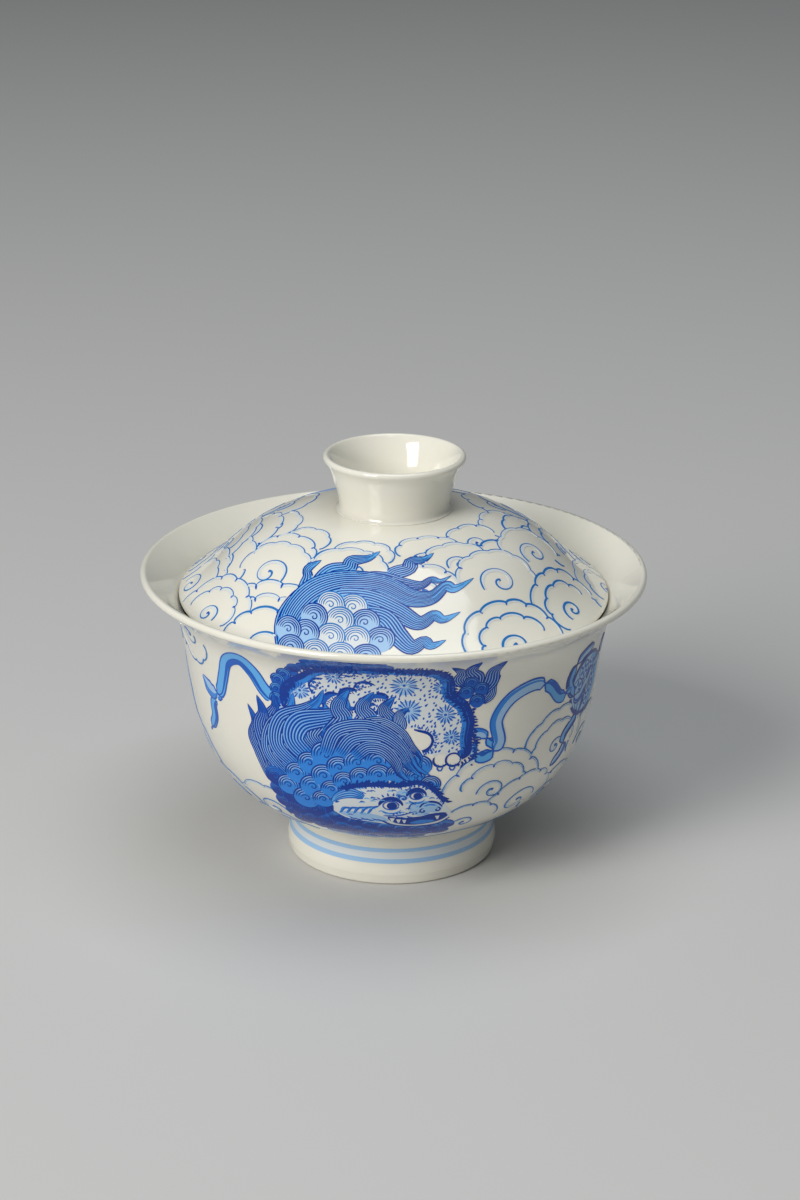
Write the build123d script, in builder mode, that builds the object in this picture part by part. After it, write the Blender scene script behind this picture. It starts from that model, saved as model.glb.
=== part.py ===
"""Porcelain gaiwan: a bell-shaped tea bowl on a foot ring, and a domed lid with a ring knob.

Millimetres, +Z up. The origin is the centre of the foot's resting plane, and +Z is the axis
that every clay part is turned about. The bowl and the lid each have a ring luted on with slip
before firing, so each ring is a solid of its own that meets its body face to face.
"""

import os
from math import cos, radians, sin

from build123d import *

# Bowl
RIM_RADIUS = 50.0  # widest point of the flared lip
BOWL_HEIGHT = 60.0  # foot plane to the top of the lip
LIP_THICKNESS = 1.5  # the lip is a full round of this thickness
LIP_ANGLE = 33.0  # how steeply the flare still climbs at the lip, degrees
BODY_WALL = 2.0  # wall of the belly
NECK_WALL = 1.8  # wall where the flare begins
FLOOR_THICKNESS = 3.6  # bowl floor inside the foot ring

# Bowl outline as (radius, height) stations between the foot and the lip
FOOT_SEAM = (20.2, 9.8)
HAUNCH = (28.6, 14.2)
BELLY = (34.4, 19.8)
SHOULDER = (39.1, 30.0)
WAIST = (41.2, 41.5)
NECK = (42.7, 50.5)
HAUNCH_SLOPE = 27.0  # climb of the wall as it leaves the foot, degrees

# Foot ring
FOOT_SEAT = 7.6  # height of the plane where bowl and foot ring are luted together
FOOT_RADIUS = 21.2  # widest point, just above the resting face
FOOT_FLARE_HEIGHT = 2.2  # height of that widest point
FOOT_EDGE_ROUND = 0.7  # rounding of the resting face's outer edge
FOOT_REST_INNER = 18.4  # inner radius of the flat resting face
FOOT_HOLE_BASE = 17.7  # radius of the recess just above the resting face
FOOT_HOLE_TOP = 16.9  # radius of the recess at the seat
FOOT_CHAMFER = 0.7  # height of the trimmed inner edge

# Lid
LID_RADIUS = 42.5  # widest point of the lid's rounded edge
LID_EDGE_HEIGHT = 54.8  # height of that widest point when the lid rests in the flare
LID_EDGE_ROUND = 0.85  # the edge is a full round of this radius
LID_WALL = 1.8  # wall of the dome
LID_EDGE_SLOPE = -40.0  # fall of the dome at its edge, degrees
CROWN = (12.0, 71.9)  # where the dome meets the flat that carries the knob
DOME_HIGH = (21.0, 70.1)
DOME_MID = (30.4, 65.2)
DOME_LOW = (37.2, 59.2)
CROWN_SLOPE = -6.0  # fall of the dome as it leaves the knob, degrees

# Knob ring
KNOB_TOP = 83.0  # height of the knob's lip
KNOB_LIP_RADIUS = 14.0  # widest point of the knob's lip
KNOB_LIP_ROUND = 0.65  # the lip is a full round of this radius
KNOB_LIP_ANGLE = 50.0  # how steeply the knob's wall climbs at its lip, degrees
KNOB_STEM = (10.95, 73.9)  # narrowest station of the outside
KNOB_MID = (12.25, 78.7)
KNOB_BASE = 11.5  # radius of the fillet that luting leaves at the base
KNOB_BASE_EDGE = 0.2  # height of that fillet's outer edge
KNOB_WALL = 1.6
KNOB_HOLE = 9.3  # radius of the cup at its floor


def direction(degrees):
    """Unit vector in the section plane at this angle above the outward radius."""
    return Vector(cos(radians(degrees)), sin(radians(degrees)))


def full_round(widest, height, radius, angle):
    """Ends and tip of the half circle that closes a wall leaving at this angle.

    The round's widest point has the given radius from the axis and the given height.
    """
    centre = Vector(widest - radius, height)
    ahead = direction(angle)
    left = direction(angle + 90)
    return centre - left * radius, centre + ahead * radius, centre + left * radius


def inset(edge, position, wall):
    """Point that lies one wall thickness to the left of an outline."""
    along = edge % position
    return edge @ position + Vector(-along.Y, along.X) * wall


# The bowl: a bell whose wall thins from the belly to a rounded, flared lip.
lip_round = LIP_THICKNESS / 2
lip_under, lip_tip, lip_over = full_round(
    RIM_RADIUS, BOWL_HEIGHT - lip_round, lip_round, LIP_ANGLE
)
floor_height = FOOT_SEAT + FLOOR_THICKNESS

with BuildPart() as bowl:
    with BuildSketch(Plane.XZ):
        with BuildLine():
            outside = Spline(
                FOOT_SEAM,
                HAUNCH,
                BELLY,
                SHOULDER,
                WAIST,
                NECK,
                lip_under,
                tangents=(direction(HAUNCH_SLOPE), direction(LIP_ANGLE)),
            )
            ThreePointArc(lip_under, lip_tip, lip_over)
            Spline(
                lip_over,
                inset(outside, 0.84, NECK_WALL),
                inset(outside, 0.62, BODY_WALL),
                inset(outside, 0.42, BODY_WALL),
                inset(outside, 0.24, BODY_WALL),
                (FOOT_SEAM[0] * 0.62, floor_height + 0.5),
                (0, floor_height),
                tangents=(-direction(LIP_ANGLE), (-1, 0)),
            )
            Polyline(
                (0, floor_height),
                (0, FOOT_SEAT),
                (FOOT_SEAM[0], FOOT_SEAT),
                FOOT_SEAM,
            )
        make_face()
    revolve(axis=Axis.Z)
bowl.part.label = "bowl"

# The foot ring: a short flared collar with a trimmed, flat resting face.
with BuildPart() as foot_ring:
    with BuildSketch(Plane.XZ) as foot_section:
        with BuildLine():
            Line((FOOT_HOLE_TOP, FOOT_SEAT), (FOOT_SEAM[0], FOOT_SEAT))
            Spline(
                (FOOT_SEAM[0], FOOT_SEAT),
                (FOOT_RADIUS, FOOT_FLARE_HEIGHT),
                tangents=((0.02, -1), (0, -1)),
            )
            Polyline(
                (FOOT_RADIUS, FOOT_FLARE_HEIGHT),
                (FOOT_RADIUS - FOOT_EDGE_ROUND / 2, 0),
                (FOOT_REST_INNER, 0),
                (FOOT_HOLE_BASE, FOOT_CHAMFER),
                (FOOT_HOLE_TOP, FOOT_SEAT),
            )
        make_face()
        resting_corner = foot_section.vertices().group_by(Axis.Y)[0].sort_by(Axis.X)[-1]
        fillet(resting_corner, radius=FOOT_EDGE_ROUND)
    revolve(axis=Axis.Z)
foot_ring.part.label = "foot_ring"

# The lid: a thin dome, flat under the knob, whose round edge drops into the bowl's flare.
edge_under, edge_tip, edge_over = full_round(
    LID_RADIUS, LID_EDGE_HEIGHT, LID_EDGE_ROUND, LID_EDGE_SLOPE
)

with BuildPart() as lid:
    with BuildSketch(Plane.XZ):
        with BuildLine():
            Line((0, CROWN[1]), CROWN)
            dome = Spline(
                CROWN,
                DOME_HIGH,
                DOME_MID,
                DOME_LOW,
                edge_over,
                tangents=(direction(CROWN_SLOPE), direction(LID_EDGE_SLOPE)),
            )
            ThreePointArc(edge_over, edge_tip, edge_under)
            Spline(
                edge_under,
                inset(dome, 0.75, -LID_WALL),
                inset(dome, 0.45, -LID_WALL),
                inset(dome, 0.15, -LID_WALL),
                (0, CROWN[1] - LID_WALL),
                tangents=(-direction(LID_EDGE_SLOPE), (-1, 0)),
            )
            Line((0, CROWN[1] - LID_WALL), (0, CROWN[1]))
        make_face()
    revolve(axis=Axis.Z)
lid.part.label = "lid"

# The knob ring: a trumpet-shaped collar, open at the top like a small cup.
knob_outer, knob_tip, knob_inner = full_round(
    KNOB_LIP_RADIUS, KNOB_TOP - KNOB_LIP_ROUND, KNOB_LIP_ROUND, KNOB_LIP_ANGLE
)

with BuildPart() as knob_ring:
    with BuildSketch(Plane.XZ):
        with BuildLine():
            trumpet = Spline(
                (KNOB_BASE, CROWN[1] + KNOB_BASE_EDGE),
                KNOB_STEM,
                KNOB_MID,
                knob_outer,
                tangents=((-1, 0.25), direction(KNOB_LIP_ANGLE)),
            )
            ThreePointArc(knob_outer, knob_tip, knob_inner)
            Spline(
                knob_inner,
                inset(trumpet, 0.66, KNOB_WALL),
                (KNOB_HOLE, CROWN[1]),
                tangents=(-direction(KNOB_LIP_ANGLE), (0, -1)),
            )
            Polyline(
                (KNOB_HOLE, CROWN[1]),
                (KNOB_BASE, CROWN[1]),
                (KNOB_BASE, CROWN[1] + KNOB_BASE_EDGE),
            )
        make_face()
    revolve(axis=Axis.Z)
knob_ring.part.label = "knob_ring"

os.makedirs("parts", exist_ok=True)
for piece in (bowl, foot_ring, lid, knob_ring):
    export_step(piece.part, f"parts/{piece.part.label}.step")
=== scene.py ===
"""The looks of a blue-and-white porcelain gaiwan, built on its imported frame.

Metres, +Z up, with the origin at the centre of the foot's resting face. The painting is
drawn flat in millimetres and then wrapped round the turned pieces.
"""

import math
import random

import bpy
import numpy as np
from mathutils import Matrix, Vector
from mathutils.bvhtree import BVHTree
from mathutils.geometry import delaunay_2d_cdt


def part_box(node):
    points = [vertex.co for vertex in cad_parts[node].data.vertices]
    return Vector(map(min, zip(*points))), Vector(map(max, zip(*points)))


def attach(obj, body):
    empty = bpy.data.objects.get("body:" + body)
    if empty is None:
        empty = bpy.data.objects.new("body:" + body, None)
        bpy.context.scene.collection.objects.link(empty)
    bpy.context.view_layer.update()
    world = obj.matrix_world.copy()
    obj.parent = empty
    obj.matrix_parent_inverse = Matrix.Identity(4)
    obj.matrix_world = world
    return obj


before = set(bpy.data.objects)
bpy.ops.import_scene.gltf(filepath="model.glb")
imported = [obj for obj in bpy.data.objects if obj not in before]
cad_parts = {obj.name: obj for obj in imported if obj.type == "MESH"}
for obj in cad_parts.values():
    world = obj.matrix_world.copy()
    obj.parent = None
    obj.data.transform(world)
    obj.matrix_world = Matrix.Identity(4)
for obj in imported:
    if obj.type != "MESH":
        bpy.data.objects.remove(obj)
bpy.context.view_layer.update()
scene = bpy.context.scene
scene.view_settings.view_transform = "Standard"


# ---------------------------------------------------------------- camera
# A long lens at half a metre looks down on the bowl from a little above its lid. The slight
# turn and lean are those of a camera held in the hand. All angles are in degrees.

CAMERA_PLACE = Vector((0, -0.528, 0.2476))
LOOKS_DOWN = 20.28
LOOKS_RIGHT = 0.14
LEANS = 0.5

camera_data = bpy.data.cameras.new("camera")
camera_data.lens = 85
camera_data.sensor_width = 36
camera_data.clip_start = 0.01
camera = bpy.data.objects.new("camera", camera_data)
camera.matrix_world = (
    Matrix.Translation(CAMERA_PLACE)
    @ Matrix.Rotation(math.radians(-LOOKS_RIGHT), 4, "Z")
    @ Matrix.Rotation(math.radians(90 - LOOKS_DOWN), 4, "X")
    @ Matrix.Rotation(math.radians(LEANS), 4, "Z")
)
scene.collection.objects.link(camera)
scene.camera = camera


# ---------------------------------------------------------------- studio
# A pale matt table stands under a tall soft box at the front left and a weak, wide one
# overhead. The room is nearly dark, so that its mirror image doesn't grey the cobalt.

FLOOR_HALF = 4.0
FLOOR_TONE = (0.6, 0.6, 0.59)


def material(name, colour, roughness):
    """A new material and its main shader, with a plain colour and roughness to start from."""
    made = bpy.data.materials.new(name)
    made.use_nodes = True
    shader = made.node_tree.nodes["Principled BSDF"]
    shader.inputs["Base Color"].default_value = (*colour, 1)
    shader.inputs["Roughness"].default_value = roughness
    return made, shader


def new_object(name, data):
    made = bpy.data.objects.new(name, data)
    scene.collection.objects.link(made)
    return made


floor_mesh = bpy.data.meshes.new("floor")
corners = [(x * FLOOR_HALF, y * FLOOR_HALF, 0) for x, y in ((-1, -1), (1, -1), (1, 1), (-1, 1))]
floor_mesh.from_pydata(corners, [], [(0, 1, 2, 3)])
floor = new_object("floor", floor_mesh)
floor_mesh.materials.append(material("floor_card", FLOOR_TONE, 0.9)[0])

world = bpy.data.worlds.new("studio")
world.use_nodes = True
world.node_tree.nodes["Background"].inputs["Color"].default_value = (0.9, 0.95, 1.0, 1)
world.node_tree.nodes["Background"].inputs["Strength"].default_value = 0.12
scene.world = world


def softbox(name, place, width, height, power, colour, aim=(0, 0, 0.045)):
    """A rectangular soft light at a place, turned to face the aim."""
    data = bpy.data.lights.new(name, "AREA")
    data.shape = "RECTANGLE"
    data.size = width
    data.size_y = height
    data.energy = power
    data.color = colour
    lamp = new_object(name, data)
    turn = (Vector(aim) - Vector(place)).to_track_quat("-Z", "Y")
    lamp.matrix_world = Matrix.Translation(place) @ turn.to_matrix().to_4x4()


softbox("key", (-0.78, -0.92, 0.78), 0.5, 0.8, 15.5, (1.0, 0.975, 0.94))
softbox("fill", (0.1, -0.1, 1.3), 0.9, 0.9, 6.5, (0.94, 0.97, 1.0))


# ---------------------------------------------------------------- porcelain
# Bowl, lid and both rings are thrown in one white clay, luted together with slip and fired
# under a clear, faintly grey-green glaze. The glaze pools and ripples a little, because it
# was poured by hand.

MM = 0.001
GLAZE_WHITE = (0.82, 0.80, 0.71)
GLAZE_SHADE = (0.79, 0.775, 0.68)
GLAZE_ROUGHNESS = 0.1


def node(tree, kind, inputs=None, **settings):
    """A node whose inputs are set from values or linked from other nodes' sockets."""
    made = tree.nodes.new(kind)
    for setting, value in settings.items():
        setattr(made, setting, value)
    for socket, value in (inputs or {}).items():
        if isinstance(value, bpy.types.NodeSocket):
            tree.links.new(value, made.inputs[socket])
        else:
            made.inputs[socket].default_value = value
    return made


def ramp(tree, value, stops):
    """A colour ramp from a list of (position, colour)."""
    made = node(tree, "ShaderNodeValToRGB", {"Fac": value})
    points = made.color_ramp.elements
    while len(points) < len(stops):
        points.new(1)
    for point, (position, colour) in zip(points, stops):
        point.position = position
        point.color = (*colour, 1)
    return made.outputs["Color"]


porcelain, glaze = material("porcelain", GLAZE_WHITE, GLAZE_ROUGHNESS)
tree = porcelain.node_tree
where = node(tree, "ShaderNodeTexCoord").outputs["Object"]
clouding = node(tree, "ShaderNodeTexNoise", {"Vector": where, "Scale": 45.0, "Detail": 3.0})
tree.links.new(
    ramp(tree, clouding.outputs["Fac"], [(0.35, GLAZE_SHADE), (0.65, GLAZE_WHITE)]),
    glaze.inputs["Base Color"],
)
ripple = node(tree, "ShaderNodeTexNoise", {"Vector": where, "Scale": 110.0, "Detail": 2.0})
bump = node(
    tree,
    "ShaderNodeBump",
    {"Height": ripple.outputs["Fac"], "Strength": 0.12, "Distance": 0.25 * MM},
)
tree.links.new(bump.outputs["Normal"], glaze.inputs["Normal"])
glaze.inputs["Coat Weight"].default_value = 0.4
glaze.inputs["Coat Roughness"].default_value = 0.03
glaze.inputs["Subsurface Weight"].default_value = 0.12
glaze.inputs["Subsurface Radius"].default_value = (0.9, 0.8, 0.6)
glaze.inputs["Subsurface Scale"].default_value = 1.5 * MM

for cad_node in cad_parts.values():
    cad_node.data.materials.clear()
    cad_node.data.materials.append(porcelain)


# ---------------------------------------------------------------- bare edge of the foot
# The potter wipes the glaze off the resting face, so that the foot doesn't fuse to the kiln
# shelf. What is left there is matt, faintly buff clay.

BARE_CLAY = (0.70, 0.63, 0.52)
CLAY_ROUGHNESS = 0.75
WIPED_HEIGHT = 0.2 * MM  # above the resting face

foot_clay = porcelain.copy()
foot_clay.name = "porcelain_with_bare_edge"
tree = foot_clay.node_tree
shader = tree.nodes["Principled BSDF"]
height = node(
    tree, "ShaderNodeSeparateXYZ", {0: node(tree, "ShaderNodeTexCoord").outputs["Object"]}
).outputs["Z"]
bare = node(
    tree, "ShaderNodeMath", {0: height, 1: WIPED_HEIGHT}, operation="LESS_THAN"
).outputs[0]
glazed_colour = shader.inputs["Base Color"].links[0].from_socket
mixed = node(
    tree, "ShaderNodeMix", {"Factor": bare, 6: glazed_colour, 7: (*BARE_CLAY, 1)}, data_type="RGBA"
)
tree.links.new(mixed.outputs[2], shader.inputs["Base Color"])
matt = node(
    tree,
    "ShaderNodeMath",
    {0: bare, 1: CLAY_ROUGHNESS - GLAZE_ROUGHNESS, 2: GLAZE_ROUGHNESS},
    operation="MULTIPLY_ADD",
)
tree.links.new(matt.outputs[0], shader.inputs["Roughness"])
shader.inputs["Coat Weight"].default_value = 0
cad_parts["foot_ring"].data.materials[0] = foot_clay


# ---------------------------------------------------------------- brushwork
# Cobalt is brushed on the raw clay, as washes with fine lines over them, before the glaze.
# Every mark is a thin closed skin. It is drawn flat, and a node tree wraps all the marks of
# one tone round the turned piece.

REF = 40.0  # a flat drawing is this many millimetres wide to the radian


def even(path, step):
    """The same path with its points about a step apart."""
    path = np.asarray(path, complex)
    run = np.concatenate([[0], np.cumsum(abs(np.diff(path)))])
    at = np.linspace(0, run[-1], max(3, int(round(run[-1] / step)) + 1))
    return np.interp(at, run, path.real) + 1j * np.interp(at, run, path.imag)


def flowing(points, step=0.5):
    """A smooth path through a few points."""
    p = np.asarray(points, complex)
    p = np.concatenate([[2 * p[0] - p[1]], p, [2 * p[-1] - p[-2]]])
    t = np.linspace(0, 1, 13)[:-1]
    spans = [
        0.5 * (2 * b + (c - a) * t + (2 * a - 5 * b + 4 * c - d) * t**2 + (3 * b - a - 3 * c + d) * t**3)
        for a, b, c, d in zip(p, p[1:], p[2:], p[3:])
    ]
    return even(np.concatenate([*spans, [p[-2]]]), step)


def closed(points, step=0.5):
    """A smooth closed shape through a few points."""
    over = flowing([*points[-2:], *points, *points[:2]], 0.1)
    half = len(over) // 2
    from_first = abs(over - points[0])
    first = int(np.argmin(from_first[:half]))
    last = half + int(np.argmin(from_first[half:]))
    return even(over[first : last + 1], step)[:-1]


class Outline:
    """The outside of a turned piece, from its lowest edge up, measured all round its mesh."""

    SIDES = 48

    def __init__(self, name, stations, inward):
        tree = BVHTree.FromObject(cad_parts[name], bpy.context.evaluated_depsgraph_get())
        found = []
        for station in stations:
            reach = []
            for turn in np.linspace(0, 2 * math.pi, self.SIDES, endpoint=False):
                side = Vector((math.sin(turn), -math.cos(turn), 0))
                start = side * station.real * MM + Vector((0, 0, station.imag * MM))
                aim = -side if inward else Vector((0, 0, -1))
                hit = tree.ray_cast(start, aim)[0]
                if hit:
                    reach.append(complex(hit.to_2d().length, hit.z) / MM)
            found.append(max(reach, key=lambda p: p.real if inward else p.imag))
        self.path = flowing(found, 0.4)
        self.run = np.concatenate([[0], np.cumsum(abs(np.diff(self.path)))])
        curve = bpy.data.curves.new(name + "_outline", "CURVE")
        curve.dimensions = "3D"
        spline = curve.splines.new("POLY")
        spline.points.add(len(self.path) - 1)
        for point, at in zip(spline.points, self.path * MM):
            point.co = (0, -at.real, at.imag, 1)
        self.guide = new_object(name + "_outline", curve)

    def radius(self, distance):
        return np.interp(distance, self.run, self.path.real)


def inside(points, shape):
    """Which of the points lie inside a closed shape."""
    a, b, p = shape, np.roll(shape, -1), points[:, None]
    crossing = (a.imag > p.imag) != (b.imag > p.imag)
    rise = np.where(a.imag == b.imag, 1, b.imag - a.imag)
    reach = a.real + (p.imag - a.imag) * (b.real - a.real) / rise
    return (crossing & (p.real < reach)).sum(1) % 2 == 1


TONES = {
    "deep": (0.003, 0.040, 0.300),
    "cobalt": (0.008, 0.105, 0.500),
    "line": (0.022, 0.180, 0.500),
    "mid": (0.030, 0.225, 0.700),
    "light": (0.110, 0.400, 0.800),
    "pale": (0.340, 0.540, 0.790),
    "mist": (0.670, 0.715, 0.730),
}

# Heights of the marks above the porcelain, in millimetres
WASH_LIFT = 0.040
LEVEL_LIFT = 0.004  # each level of washes stands this much over the one below
LINE_LIFT = 0.056
MARK_LIFT = 0.0004  # marks that may cross differ by this, so that no two faces coincide
SKIN_DEPTH = 0.25  # how far a wash reaches into the clay

GRAIN_ROW = 0.87  # rows of a wash's inner points stand this share of their spacing apart

cobalts = {}
for tone, colour in TONES.items():
    cobalts[tone], shader = material("cobalt_" + tone, colour, 0.12)
    shader.inputs["Specular IOR Level"].default_value = 0.25
    shader.inputs["Coat Weight"].default_value = 0.08


class Painting:
    """Brushwork on one turned piece, worked from the nearest figure to the farthest.

    A place in the flat drawing is a complex number in millimetres: round the axis, and up
    the outline. What is painted later passes behind what was covered before.
    """

    def __init__(self, name, body, outline, seed):
        self.name, self.body, self.outline = name, body, outline
        self.lines = {tone: [] for tone in TONES}
        self.washes = {tone: [] for tone in TONES}
        self.covers = []
        self.hand = random.Random(seed)
        self.put = None

    def stand(self, angle, height, size=1.0, turn=0):
        """Sets where the next drawing stands: its own origin, in millimetres, lands there."""

        def put(points):
            z = np.asarray(points, complex) * size * np.exp(1j * math.radians(turn))
            up = height + z.imag
            return (math.radians(angle) + z.real / self.outline.radius(up)) * REF + 1j * up

        self.put = put

    def cover(self, shape):
        """Keeps what is painted later out of a closed shape."""
        flat = self.put(shape)
        ends = flat.real.min(), flat.real.max(), flat.imag.min(), flat.imag.max()
        self.covers.append((flat, *ends))

    def hiding(self, flat):
        """The covers that may hide some of the points, moved by whole rounds to lie beside them."""
        left, right, low, high = flat.real.min(), flat.real.max(), flat.imag.min(), flat.imag.max()
        whole = 2 * math.pi * REF
        for shape, first, last, bottom, top in self.covers:
            shift = whole * round((left + right - first - last) / 2 / whole)
            if first + shift < right and last + shift > left and bottom < high and top > low:
                yield shape + shift

    def seen(self, flat):
        """Which points nothing covers yet."""
        shown = (flat.imag > 0) & (flat.imag < self.outline.run[-1])
        for shape in self.hiding(flat):
            shown &= ~inside(flat, shape)
        return shown

    def line(self, path, width, tone="line", swell=0.12, thin=0.3, floor=0.25):
        """A brush line that swells at its start and thins towards its end."""
        flat = self.put(path)
        along = np.linspace(0, 1, len(flat))
        press = np.minimum(1, (along / swell) if swell else 1) ** 0.6
        press = press * np.minimum(1, ((1 - along) / thin) if thin else 1) ** 0.8
        sway = 1 + 0.13 * np.sin(along * self.hand.uniform(4, 11) + self.hand.uniform(0, 6))
        half = width / 2 * sway * (floor + (1 - floor) * press)
        lift = LINE_LIFT + len(self.lines[tone]) % 40 * MARK_LIFT
        shown = self.seen(flat)
        edges = np.flatnonzero(np.diff(np.concatenate([[0], shown, [0]])))
        for first, last in zip(edges[::2], edges[1::2]):
            if last - first >= 3:
                self.lines[tone].append((flat[first:last], half[first:last], lift))

    def wash(self, shape, tone, level=0, grain=1.1):
        """A filled shape, with points inside it so that it follows the curve of the piece."""
        flat = self.put(shape)
        limits = [flat, *self.hiding(flat)]
        xs = np.arange(flat.real.min(), flat.real.max(), grain)
        ys = np.arange(flat.imag.min(), flat.imag.max(), grain * GRAIN_ROW)
        stagger = (np.arange(len(ys)) % 2)[:, None] * grain / 2
        grid = (xs[None, :] + 1j * ys[:, None] + stagger).ravel()
        grid = grid[inside(grid, flat)] if len(grid) else grid
        points, edges = [], []
        for limit in limits:
            first = len(points)
            points += list(limit)
            edges += [(first + i, first + (i + 1) % len(limit)) for i in range(len(limit))]
        points += list(grid)
        flat_points = [Vector((p.real, p.imag)) for p in points]
        places, _, faces, *_ = delaunay_2d_cdt(flat_points, edges, [], 0, 1e-4)
        places = np.array([complex(p.x, p.y) for p in places])
        middles = np.array([places[list(f)].mean() for f in faces])
        kept = inside(middles, flat)
        for limit in limits[1:]:
            kept &= ~inside(middles, limit)
        kept &= (middles.imag > 0) & (middles.imag < self.outline.run[-1])
        faces = [tuple(f) for f, keep in zip(faces, kept) if keep]
        lift = WASH_LIFT + LEVEL_LIFT * level + len(self.washes[tone]) % 9 * MARK_LIFT
        self.washes[tone].append((places, faces, lift))

    def flat_washes(self, tone):
        """All washes of a tone as one flat mesh of closed slabs: angle, distance and lift."""
        points, faces = [], []
        for places, triangles, lift in self.washes[tone]:
            used = sorted({i for t in triangles for i in t})
            top = {i: len(points) + n for n, i in enumerate(used)}
            points += [(places[i].real / REF, places[i].imag * MM, lift * MM) for i in used]
            below = len(used)
            points += [(places[i].real / REF, places[i].imag * MM, -SKIN_DEPTH * MM) for i in used]
            borders = set()
            for triangle in triangles:
                corners = [top[i] for i in triangle]
                faces.append(tuple(corners))
                faces.append(tuple(c + below for c in reversed(corners)))
                for a, b in zip(corners, corners[1:] + corners[:1]):
                    if (b, a) in borders:
                        borders.remove((b, a))
                    else:
                        borders.add((a, b))
            faces += [(b, a, a + below, b + below) for a, b in sorted(borders)]
        mesh = bpy.data.meshes.new("flat_washes")
        mesh.from_pydata(points, [], faces)
        return mesh

    def flat_lines(self, tone):
        """All lines of a tone as flat curves, each with its half width as radius."""
        curve = bpy.data.curves.new("flat_lines", "CURVE")
        curve.dimensions = "3D"
        for flat, half, lift in self.lines[tone]:
            spline = curve.splines.new("POLY")
            spline.points.add(len(flat) - 1)
            lifts = np.full(len(flat), lift * MM)
            rows = np.stack([flat.real / REF, flat.imag * MM, lifts, np.ones(len(flat))], 1)
            spline.points.foreach_set("co", rows.ravel())
            spline.points.foreach_set("radius", half * MM)
        return curve

    def finish(self):
        """Wraps each tone's marks onto the piece, as one mesh for each tone."""
        for tone in TONES:
            if not self.lines[tone] and not self.washes[tone]:
                continue
            flat = new_object("flat", self.flat_washes(tone))
            lines = new_object("lines", self.flat_lines(tone))
            brush = flat.modifiers.new("brushwork", "NODES")
            brush.node_group = brushwork
            for item in brushwork.interface.items_tree:
                if item.name == "Lines":
                    brush[item.identifier] = lines
                elif item.name == "Outline":
                    brush[item.identifier] = self.outline.guide
                elif item.name == "Cobalt":
                    brush[item.identifier] = cobalts[tone]
            wet = flat.evaluated_get(bpy.context.evaluated_depsgraph_get())
            mesh = bpy.data.meshes.new_from_object(wet)
            for spare in (flat, lines):
                bpy.data.objects.remove(spare)
            piece = new_object(f"{self.name}_{tone}", mesh)
            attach(piece, self.body)


def wrapped(tree, outline):
    """Sockets for the place and the outward normal of a flat point: angle, distance, lift."""
    at = node(tree, "GeometryNodeInputPosition").outputs[0]
    flat = node(tree, "ShaderNodeSeparateXYZ", {0: at})
    station = node(
        tree,
        "GeometryNodeSampleCurve",
        {"Curves": outline, "Length": flat.outputs["Y"]},
        mode="LENGTH",
    )
    out = node(
        tree,
        "ShaderNodeVectorMath",
        {0: (1, 0, 0), 1: station.outputs["Tangent"]},
        operation="CROSS_PRODUCT",
    )
    lifted = node(
        tree,
        "ShaderNodeVectorMath",
        {0: out.outputs[0], 1: flat.outputs["Z"], 2: station.outputs["Position"]},
        operation="MULTIPLY_ADD",
    )
    return [
        node(
            tree,
            "ShaderNodeVectorRotate",
            {"Vector": vector, "Angle": flat.outputs["X"]},
            rotation_type="Z_AXIS",
        ).outputs[0]
        for vector in (lifted.outputs[0], out.outputs[0])
    ]


CREASE = 0.7  # radians past which an edge of a mark stays sharp

brushwork = bpy.data.node_groups.new("brushwork", "GeometryNodeTree")
for name, kind in (
    ("Washes", "Geometry"),
    ("Lines", "Object"),
    ("Outline", "Object"),
    ("Cobalt", "Material"),
):
    brushwork.interface.new_socket(name, in_out="INPUT", socket_type="NodeSocket" + kind)
brushwork.interface.new_socket("Geometry", in_out="OUTPUT", socket_type="NodeSocketGeometry")
given = node(brushwork, "NodeGroupInput")
guide = node(brushwork, "GeometryNodeObjectInfo", {"Object": given.outputs["Outline"]})
strokes = node(brushwork, "GeometryNodeObjectInfo", {"Object": given.outputs["Lines"]})
place, outward = wrapped(brushwork, guide.outputs["Geometry"])
washes = node(
    brushwork, "GeometryNodeSetPosition", {"Geometry": given.outputs["Washes"], "Position": place}
)
facing = node(
    brushwork,
    "GeometryNodeSetCurveNormal",
    {"Curve": strokes.outputs["Geometry"], "Normal": outward},
    mode="FREE",
)
laid = node(brushwork, "GeometryNodeSetPosition", {"Geometry": facing.outputs[0], "Position": place})
line_section = node(
    brushwork,
    "GeometryNodeCurvePrimitiveQuadrilateral",
    {
        "Point 1": (0, 1, 0),
        "Point 2": (0, -1, 0),
        "Point 3": (-0.9, -0.8, 0),
        "Point 4": (-0.9, 0.8, 0),
    },
    mode="POINTS",
)
tapes = node(
    brushwork,
    "GeometryNodeCurveToMesh",
    {
        "Curve": laid.outputs[0],
        "Profile Curve": line_section.outputs[0],
        "Scale": node(brushwork, "GeometryNodeInputRadius").outputs[0],
        "Fill Caps": True,
    },
)
joined = node(brushwork, "GeometryNodeJoinGeometry")
brushwork.links.new(tapes.outputs[0], joined.inputs[0])
brushwork.links.new(washes.outputs[0], joined.inputs[0])
plain = node(brushwork, "GeometryNodeRealizeInstances", {"Geometry": joined.outputs[0]})
fold = node(brushwork, "GeometryNodeInputMeshEdgeAngle")
folded = node(
    brushwork, "ShaderNodeMath", {0: fold.outputs[0], 1: CREASE}, operation="GREATER_THAN"
)
creased = node(
    brushwork,
    "GeometryNodeStoreNamedAttribute",
    {"Geometry": plain.outputs[0], "Name": "sharp_edge", "Value": folded.outputs[0]},
    data_type="BOOLEAN",
    domain="EDGE",
)
smooth = node(brushwork, "GeometryNodeSetShadeSmooth", {"Geometry": creased.outputs[0]})
inked = node(
    brushwork,
    "GeometryNodeSetMaterial",
    {"Geometry": smooth.outputs[0], "Material": given.outputs["Cobalt"]},
)
node(brushwork, "NodeGroupOutput", {0: inked.outputs[0]})


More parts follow.
